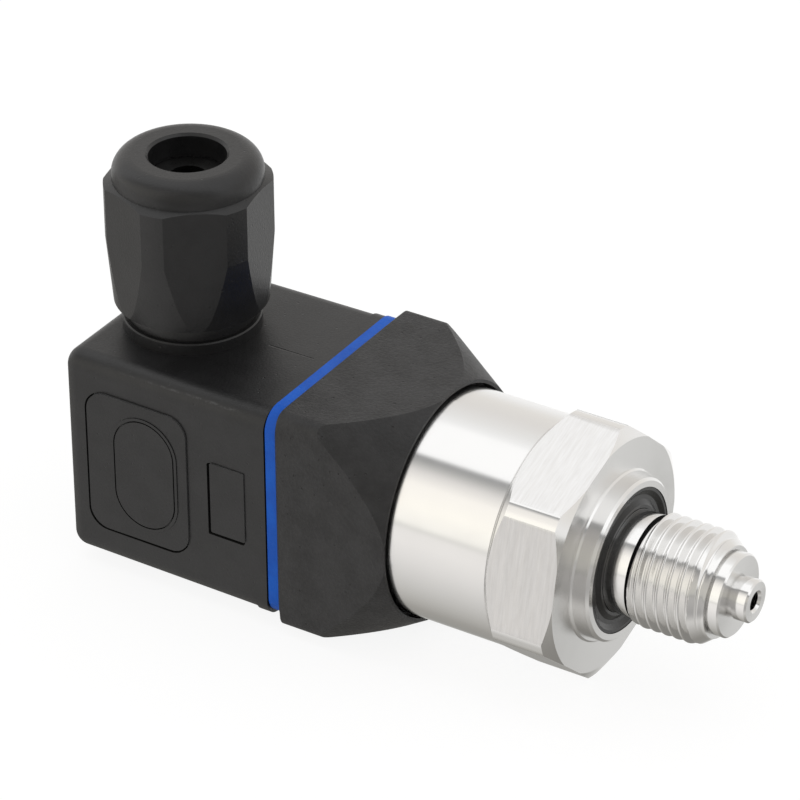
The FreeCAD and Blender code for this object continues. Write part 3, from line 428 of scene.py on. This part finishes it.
class Axis:
    """An axis with two directions across it, so that a turn is right-handed about it."""

    def __init__(self, middle, along, across, up):
        self.middle = Vector(middle)
        self.along = Vector(along)
        self.across = Vector(across)
        self.up = Vector(up)

    def point(self, distance, radius, angle):
        return (self.middle + self.along * distance
                + (self.across * math.cos(angle) + self.up * math.sin(angle)) * radius)

    def reading(self, point):
        """Distance along the axis and from it."""
        offset = point - self.middle
        distance = offset.dot(self.along)
        return distance, (offset - self.along * distance).length


def thread_depth(offset, pitch):
    """Depth below the crest of a rounded V thread, at an axial offset from a crest."""
    offset = abs((offset / pitch + 0.5) % 1.0 - 0.5) * pitch
    rounding = ROUND_SHARE * pitch
    depth = DEPTH_SHARE * pitch
    reach = rounding * math.cos(HALF_FLANK)
    lost = rounding * (1 - math.sin(HALF_FLANK))
    if offset < reach:
        return rounding - math.sqrt(rounding ** 2 - offset ** 2)
    if offset > pitch / 2 - reach:
        return depth - rounding + math.sqrt(rounding ** 2 - (pitch / 2 - offset) ** 2)
    return lost + (offset - reach) / math.tan(HALF_FLANK)


def between(points, place):
    """Value at a place on a line through points in order."""
    for (start, low), (stop, high) in zip(points, points[1:]):
        if place <= stop:
            return low + (high - low) * max(place - start, 0.0) / (stop - start)
    return points[-1][1]


def welded_copy(node_name):
    """The node's mesh with its faces joined, to build a new piece from."""
    work = bmesh.new()
    work.from_mesh(NODES[node_name].data)
    bmesh.ops.remove_doubles(work, verts=work.verts, dist=WELD)
    return work


def finished(work, name, node_name, body, materials, soft=None):
    """A piece that stands for a node: smooth faces, sharp edges, a body to ride on.

    soft is an axis and the stretch along it, with its inner radius, that has no sharp edges.
    """
    mesh = bpy.data.meshes.new(name)
    work.to_mesh(mesh)
    work.free()
    if "custom_normal" in mesh.attributes:
        mesh.attributes.remove(mesh.attributes["custom_normal"])
    mesh.shade_smooth()
    mesh.set_sharp_from_angle(angle=SHARP_ANGLE)
    if soft:
        axis, low, high, inner = soft
        inside = []
        for vertex in mesh.vertices:
            distance, radius = axis.reading(vertex.co)
            inside.append(low < distance < high and radius > inner)
        for edge in mesh.edges:
            if inside[edge.vertices[0]] and inside[edge.vertices[1]]:
                edge.use_edge_sharp = False
    for material in materials:
        mesh.materials.append(material)
    piece = bpy.data.objects.new(name, mesh)
    bpy.context.scene.collection.objects.link(piece)
    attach(piece, body)
    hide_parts(node_name)


def cut_thread(work, axis, pitch, crest_place, envelope, threaded, fades, inner, rims, steps):
    """Take the smooth band off a turned surface and put a helical one in its place.

    envelope is the largest radius along the band, threaded its stretch with a thread, fades
    the run over which the thread starts and ends, inner the radius that bounds the band, rims
    whether the faces at its ends go too, steps how many there are in a turn and in a pitch.
    """
    low, high = envelope[0][0], envelope[-1][0]
    start, stop = threaded
    turn_steps, pitch_steps = steps
    margin = BAND_MARGIN if rims else -BAND_MARGIN
    crest = max(r for _, r in envelope)
    band = []
    for face in work.faces:
        distance, radius = axis.reading(face.calc_center_median())
        if low - margin < distance < high + margin and inner < radius < crest + BAND_OUTER:
            band.append(face)
    bmesh.ops.delete(work, geom=band, context="FACES")
    rings_left = [e for e in work.edges if e.is_boundary]
    step = pitch / pitch_steps
    count = max(int((stop - start) / step), 1)
    places = [low] if low < start - step else []
    places += [start + (stop - start) * i / count for i in range(count + 1)]
    places += [high] if high > stop + step else []
    rings = []
    for place in places:
        ring = []
        run = min(place - start, stop - place)
        share = 1.0 if fades <= 0 else min(max(run / fades, 0.0), 1.0)
        for turn in range(turn_steps):
            angle = 2 * math.pi * turn / turn_steps
            depth = thread_depth(place - crest_place - pitch * angle / (2 * math.pi), pitch)
            radius = min(between(envelope, place), crest - depth * share)
            ring.append(work.verts.new(axis.point(place, radius, angle)))
        rings.append(ring)
    for first, second in zip(rings, rings[1:]):
        for turn in range(turn_steps):
            after = (turn + 1) % turn_steps
            work.faces.new((first[turn], first[after], second[after], second[turn]))
    for ring, place in ((rings[0], low), (rings[-1], high)):
        new_edges = [work.edges.get((ring[i], ring[(i + 1) % turn_steps]))
                     for i in range(turn_steps)]
        old_edges = [e for e in rings_left
                     if all(abs(axis.reading(v.co)[0] - place) < RING_REACH for v in e.verts)]
        bmesh.ops.bridge_loops(work, edges=new_edges + old_edges)
    bmesh.ops.recalc_face_normals(work, faces=work.faces)


PROCESS_AXIS = Axis((0, 0, 0), (1, 0, 0), (0, 1, 0), (0, 0, 1))
nut_low, nut_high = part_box("gland_nut")
gland_x = (nut_low.x + nut_high.x) / 2
GLAND_AXIS = Axis((gland_x, 0, 0), (0, 0, 1), (1, 0, 0), (0, 1, 0))

# Male process thread: G1/4, from the relief groove over the lead cone to the spigot's groove
G_RADIUS = 6.5785 * MM
G_PITCH = 1.337 * MM
G_CREST = 3.42 * MM
G_BAND = [(3.0 * MM, 6.25 * MM), (3.25 * MM, G_RADIUS), (10.4 * MM, G_RADIUS),
          (11.8 * MM, 5.45 * MM), (12.05 * MM, 5.35 * MM)]
G_INNER = 4.505 * MM
G_STEPS = (240, 28)

# The hexagon's flats: distance from the axis and stretch along it, with how near a face comes
HEX_HALF = 13.5 * MM
HEX_NEAR = 0.03 * MM
HEX_STRETCH = (-10.6 * MM, -2.05 * MM)

# The relief groove, which the light doesn't reach and which is painted with shade: its stretch, then
# its inner and outer radius
RELIEF_STRETCH = (2.54 * MM, 3.01 * MM)
RELIEF_RADII = (5.4 * MM, 6.2 * MM)

# How far a normal's X part marks a face that was cut across the axis, or one along it
ACROSS_AXIS = 0.9
ALONG_AXIS = 0.02
# How small a normal's Y part is on a wall that stands up from the plug's side
UPRIGHT = 0.5

# Materials of the steel body and of the plug by their place in each piece
TURNED, BRUSHED, SHADED, FACED = range(4)
PLAIN, SEAM, EDGE = range(3)

# Seams behind and below the plates on the plug, deepened and painted with shade: middle, half sizes
# and corner of each plate
PLATES = [
    (-56.8 * MM, 6.8 * MM, 9.0 * MM, 2.5 * MM),
    (-44.5 * MM, 2.3 * MM, 4.6 * MM, 0.2 * MM),
]
PLATE_FACE = -13.8 * MM
SEAM_WIDTH = 0.28 * MM
SEAM_WIDER = 0.20 * MM
SEAM_FLOOR = -13.02 * MM
SEAM_DEEPER = 0.8 * MM

# Thread on the stem of the gland
STEM_RADIUS = 7.4 * MM
STEM_PITCH = 1.5 * MM
STEM_BAND = [(14.5 * MM, STEM_RADIUS), (29.5 * MM, STEM_RADIUS)]
STEM_THREAD = (16.2 * MM, 29.5 * MM)
STEM_INNER = 7.2 * MM
STEM_FADE = 0.5 * MM
STEM_STEPS = (120, 14)

# Thread at the front end of the retaining screw
SCREW_RADIUS = 1.5 * MM
SCREW_PITCH = 0.5 * MM
SCREW_BAND = [(-64.98 * MM, SCREW_RADIUS), (-33.0 * MM, SCREW_RADIUS)]
SCREW_THREAD = (-42.0 * MM, -33.0 * MM)
SCREW_INNER = 1.3 * MM
SCREW_FADE = 0.3 * MM
SCREW_STEPS = (40, 10)


def steel_material(face):
    """Place of a steel face's material: brushed flats, painted shade in the relief groove, and faces
    cut across.
    """
    middle = face.calc_center_median()
    across = abs(face.normal.x)
    height = face.normal.y * middle.y + face.normal.z * middle.z
    distance, radius = PROCESS_AXIS.reading(middle)
    if RELIEF_STRETCH[0] < distance < RELIEF_STRETCH[1] and RELIEF_RADII[0] < radius < RELIEF_RADII[1]:
        return SHADED
    if across > ACROSS_AXIS and not G_BAND[0][0] < distance < G_BAND[-1][0]:
        return FACED
    if across < ALONG_AXIS and abs(height - HEX_HALF) < HEX_NEAR:
        if HEX_STRETCH[0] < distance < HEX_STRETCH[1]:
            return BRUSHED
    return TURNED


def threaded_connection():
    """The steel body with its thread."""
    work = welded_copy("process_connection")
    cut_thread(work, PROCESS_AXIS, G_PITCH, G_CREST, G_BAND, (G_BAND[0][0], G_BAND[-1][0]),
               0.0, G_INNER, True, G_STEPS)
    for face in work.faces:
        face.material_index = steel_material(face)
    soft = (PROCESS_AXIS, G_BAND[1][0], G_BAND[2][0], G_INNER)
    finished(work, "threaded_connection", "process_connection", "sensor",
             (steel_turned, steel_flats, seam_painted_shade, steel_faced), soft)


def plate_gap(point, plate):
    """Distance outwards from a plate's outline, and its side: below 0 is behind or below it."""
    middle, half_x, half_z, corner = plate
    along, up = point.x - middle, point.z
    over_x = abs(along) - half_x + corner
    over_z = abs(up) - half_z + corner
    gap = math.hypot(max(over_x, 0), max(over_z, 0)) + min(max(over_x, over_z), 0) - corner
    return gap, along / half_x + up / half_z


def deepen_seams(work):
    """Make the seams behind and below the plates deeper and wider."""
    for vertex in work.verts:
        if not PLATE_FACE < vertex.co.y < SEAM_FLOOR + SEAM_DEEPER / 2:
            continue
        for plate in PLATES:
            gap, side = plate_gap(vertex.co, plate)
            if side < 0 and abs(gap - SEAM_WIDTH / 2) < SEAM_WIDTH:
                share = min(max(gap / SEAM_WIDTH, 0.0), 1.0)
                vertex.co.x -= SEAM_WIDER * share
                vertex.co.z -= SEAM_WIDER * share
                if abs(vertex.co.y - SEAM_FLOOR) < WELD:
                    vertex.co.y += SEAM_DEEPER
                break
    work.normal_update()


def plug_material(face):
    """Place of a plug face's material: painted shade in the seams, and a painted highlight on the
    plates' other edges.
    """
    middle = face.calc_center_median()
    upright = abs(face.normal.y) < UPRIGHT
    floor = SEAM_FLOOR + SEAM_DEEPER
    for plate in PLATES:
        gap, side = plate_gap(middle, plate)
        if side < 0 and abs(gap) < 2 * (SEAM_WIDTH + SEAM_WIDER):
            # Seam faces take the painted shade
            if PLATE_FACE < middle.y < floor + WELD and (upright or middle.y > floor - WELD):
                return SEAM
        if side > 0 and abs(gap) < SEAM_WIDTH / 4:
            # The plates' upper and right walls take the painted highlight
            if upright and PLATE_FACE < middle.y < SEAM_FLOOR:
                return EDGE
    return PLAIN


def threaded_plug():
    """The plug with the thread of its gland stem and deeper seams at its plates."""
    work = welded_copy("plug_housing")
    cut_thread(work, GLAND_AXIS, STEM_PITCH, STEM_THREAD[0], STEM_BAND, STEM_THREAD, STEM_FADE,
               STEM_INNER, False, STEM_STEPS)
    deepen_seams(work)
    for face in work.faces:
        face.material_index = plug_material(face)
    soft = (GLAND_AXIS, STEM_BAND[0][0], STEM_BAND[1][0], STEM_INNER - STEM_PITCH)
    finished(work, "threaded_plug", "plug_housing", "plug",
             (plug_black, seam_painted_shade, edge_painted_highlight), soft)


def threaded_screw():
    """The retaining screw with the thread that the insert takes."""
    work = welded_copy("retaining_screw")
    cut_thread(work, PROCESS_AXIS, SCREW_PITCH, SCREW_THREAD[0], SCREW_BAND, SCREW_THREAD,
               SCREW_FADE, SCREW_INNER, False, SCREW_STEPS)
    soft = (PROCESS_AXIS, SCREW_BAND[0][0], SCREW_BAND[1][0], SCREW_INNER - SCREW_PITCH)
    finished(work, "threaded_screw", "retaining_screw", "retaining_screw",
             (zinc,), soft)


threaded_connection()
threaded_plug()
threaded_screw()


# Camera, light and floor

def add_camera():
    azimuth, elevation, roll = CAMERA_AZIMUTH, CAMERA_ELEVATION, CAMERA_ROLL
    back = Vector((math.sin(azimuth) * math.cos(elevation),
                   -math.cos(azimuth) * math.cos(elevation), math.sin(elevation)))
    level = Vector((math.cos(azimuth), math.sin(azimuth), 0))
    upward = back.cross(level)
    right = level * math.cos(roll) + upward * math.sin(roll)
    up = upward * math.cos(roll) - level * math.sin(roll)
    data = bpy.data.cameras.new("camera")
    data.lens = CAMERA_LENS
    data.sensor_width = CAMERA_SENSOR
    data.clip_start = CAMERA_NEAR
    data.clip_end = CAMERA_FAR
    camera = bpy.data.objects.new("camera", data)
    turn = Matrix((right, up, back)).transposed().to_4x4()
    camera.matrix_world = Matrix.Translation(CAMERA_PLACE) @ turn
    bpy.context.scene.collection.objects.link(camera)
    bpy.context.scene.camera = camera


def add_studio_light():
    """World light: long soft boxes along X, with darker parts. The camera sees white."""
    world = bpy.data.worlds.new("studio")
    world.use_nodes = True
    bpy.context.scene.world = world
    tree = world.node_tree
    direction = add_node(tree, "ShaderNodeTexCoord").outputs["Generated"]
    parts = add_node(tree, "ShaderNodeSeparateXYZ", None, {0: direction})
    angle = calculate(tree, "ARCTAN2", parts.outputs[2], parts.outputs[1])
    place = calculate(tree, "MULTIPLY_ADD", angle, 0.5 / math.pi, 0.5)
    ramp = add_node(tree, "ShaderNodeValToRGB", None, {0: place})
    stops = ramp.color_ramp.elements
    while len(stops) < len(STUDIO_BANDS):
        stops.new(1.0)
    for stop, (degrees, colour) in zip(stops, STUDIO_BANDS):
        stop.position = (degrees + 180) / 360
        stop.color = (*(part / STEEL_REFLECTS for part in colour), 1)
    share = 1.0
    for middle, light_left, inner, outer in DARK_PARTS:
        toward = add_node(tree, "ShaderNodeVectorMath", {"operation": "DOT_PRODUCT"},
                          {0: direction, 1: Vector(middle).normalized()}).outputs["Value"]
        part = spread(tree, toward, math.cos(math.radians(outer)), math.cos(math.radians(inner)),
                      1.0, light_left)
        share = calculate(tree, "MULTIPLY", part, share)
    light = add_node(tree, "ShaderNodeBackground", None,
                     {"Color": ramp.outputs[0], "Strength": share})
    white = add_node(tree, "ShaderNodeBackground", None, {"Color": (1, 1, 1, 1), "Strength": 1.0})
    seen = add_node(tree, "ShaderNodeLightPath").outputs["Is Camera Ray"]
    mixed = add_node(tree, "ShaderNodeMixShader", None,
                     {0: seen, 1: light.outputs[0], 2: white.outputs[0]})
    tree.links.new(mixed.outputs[0], tree.nodes["World Output"].inputs["Surface"])


def add_floor():
    """Pale floor: white to the camera, with a faint shadow of the object."""
    mesh = bpy.data.meshes.new("floor")
    corners = [(-1, -1), (1, -1), (1, 1), (-1, 1)]
    mesh.from_pydata([(x * FLOOR_SIZE, y * FLOOR_SIZE, cad_low.z) for x, y in corners], [],
                     [(0, 1, 2, 3)])
    floor = bpy.data.objects.new("floor", mesh)
    bpy.context.scene.collection.objects.link(floor)
    material = bpy.data.materials.new("floor")
    material.use_nodes = True
    tree = material.node_tree
    tree.nodes.clear()
    path = add_node(tree, "ShaderNodeLightPath")
    pale = add_node(tree, "ShaderNodeBsdfDiffuse", None, {"Color": (*[FLOOR_PALE] * 3, 1)})
    faint = add_node(tree, "ShaderNodeBsdfDiffuse", None, {"Color": (*[FLOOR_FAINT] * 3, 1)})
    glow = add_node(tree, "ShaderNodeEmission", None,
                    {"Color": (1, 1, 1, 1), "Strength": FLOOR_GLOW})
    both = add_node(tree, "ShaderNodeAddShader", None, {0: faint.outputs[0], 1: glow.outputs[0]})
    seen = add_node(tree, "ShaderNodeMixShader", None,
                    {0: path.outputs["Is Camera Ray"], 1: pale.outputs[0], 2: both.outputs[0]})
    clear = add_node(tree, "ShaderNodeBsdfTransparent")
    mirrored = add_node(tree, "ShaderNodeMixShader", None,
                        {0: path.outputs["Is Glossy Ray"], 1: seen.outputs[0],
                         2: clear.outputs[0]})
    output = add_node(tree, "ShaderNodeOutputMaterial")
    tree.links.new(mirrored.outputs[0], output.inputs["Surface"])
    mesh.materials.append(material)


add_camera()
add_studio_light()
add_floor()
bpy.context.scene.view_settings.view_transform = "Standard"
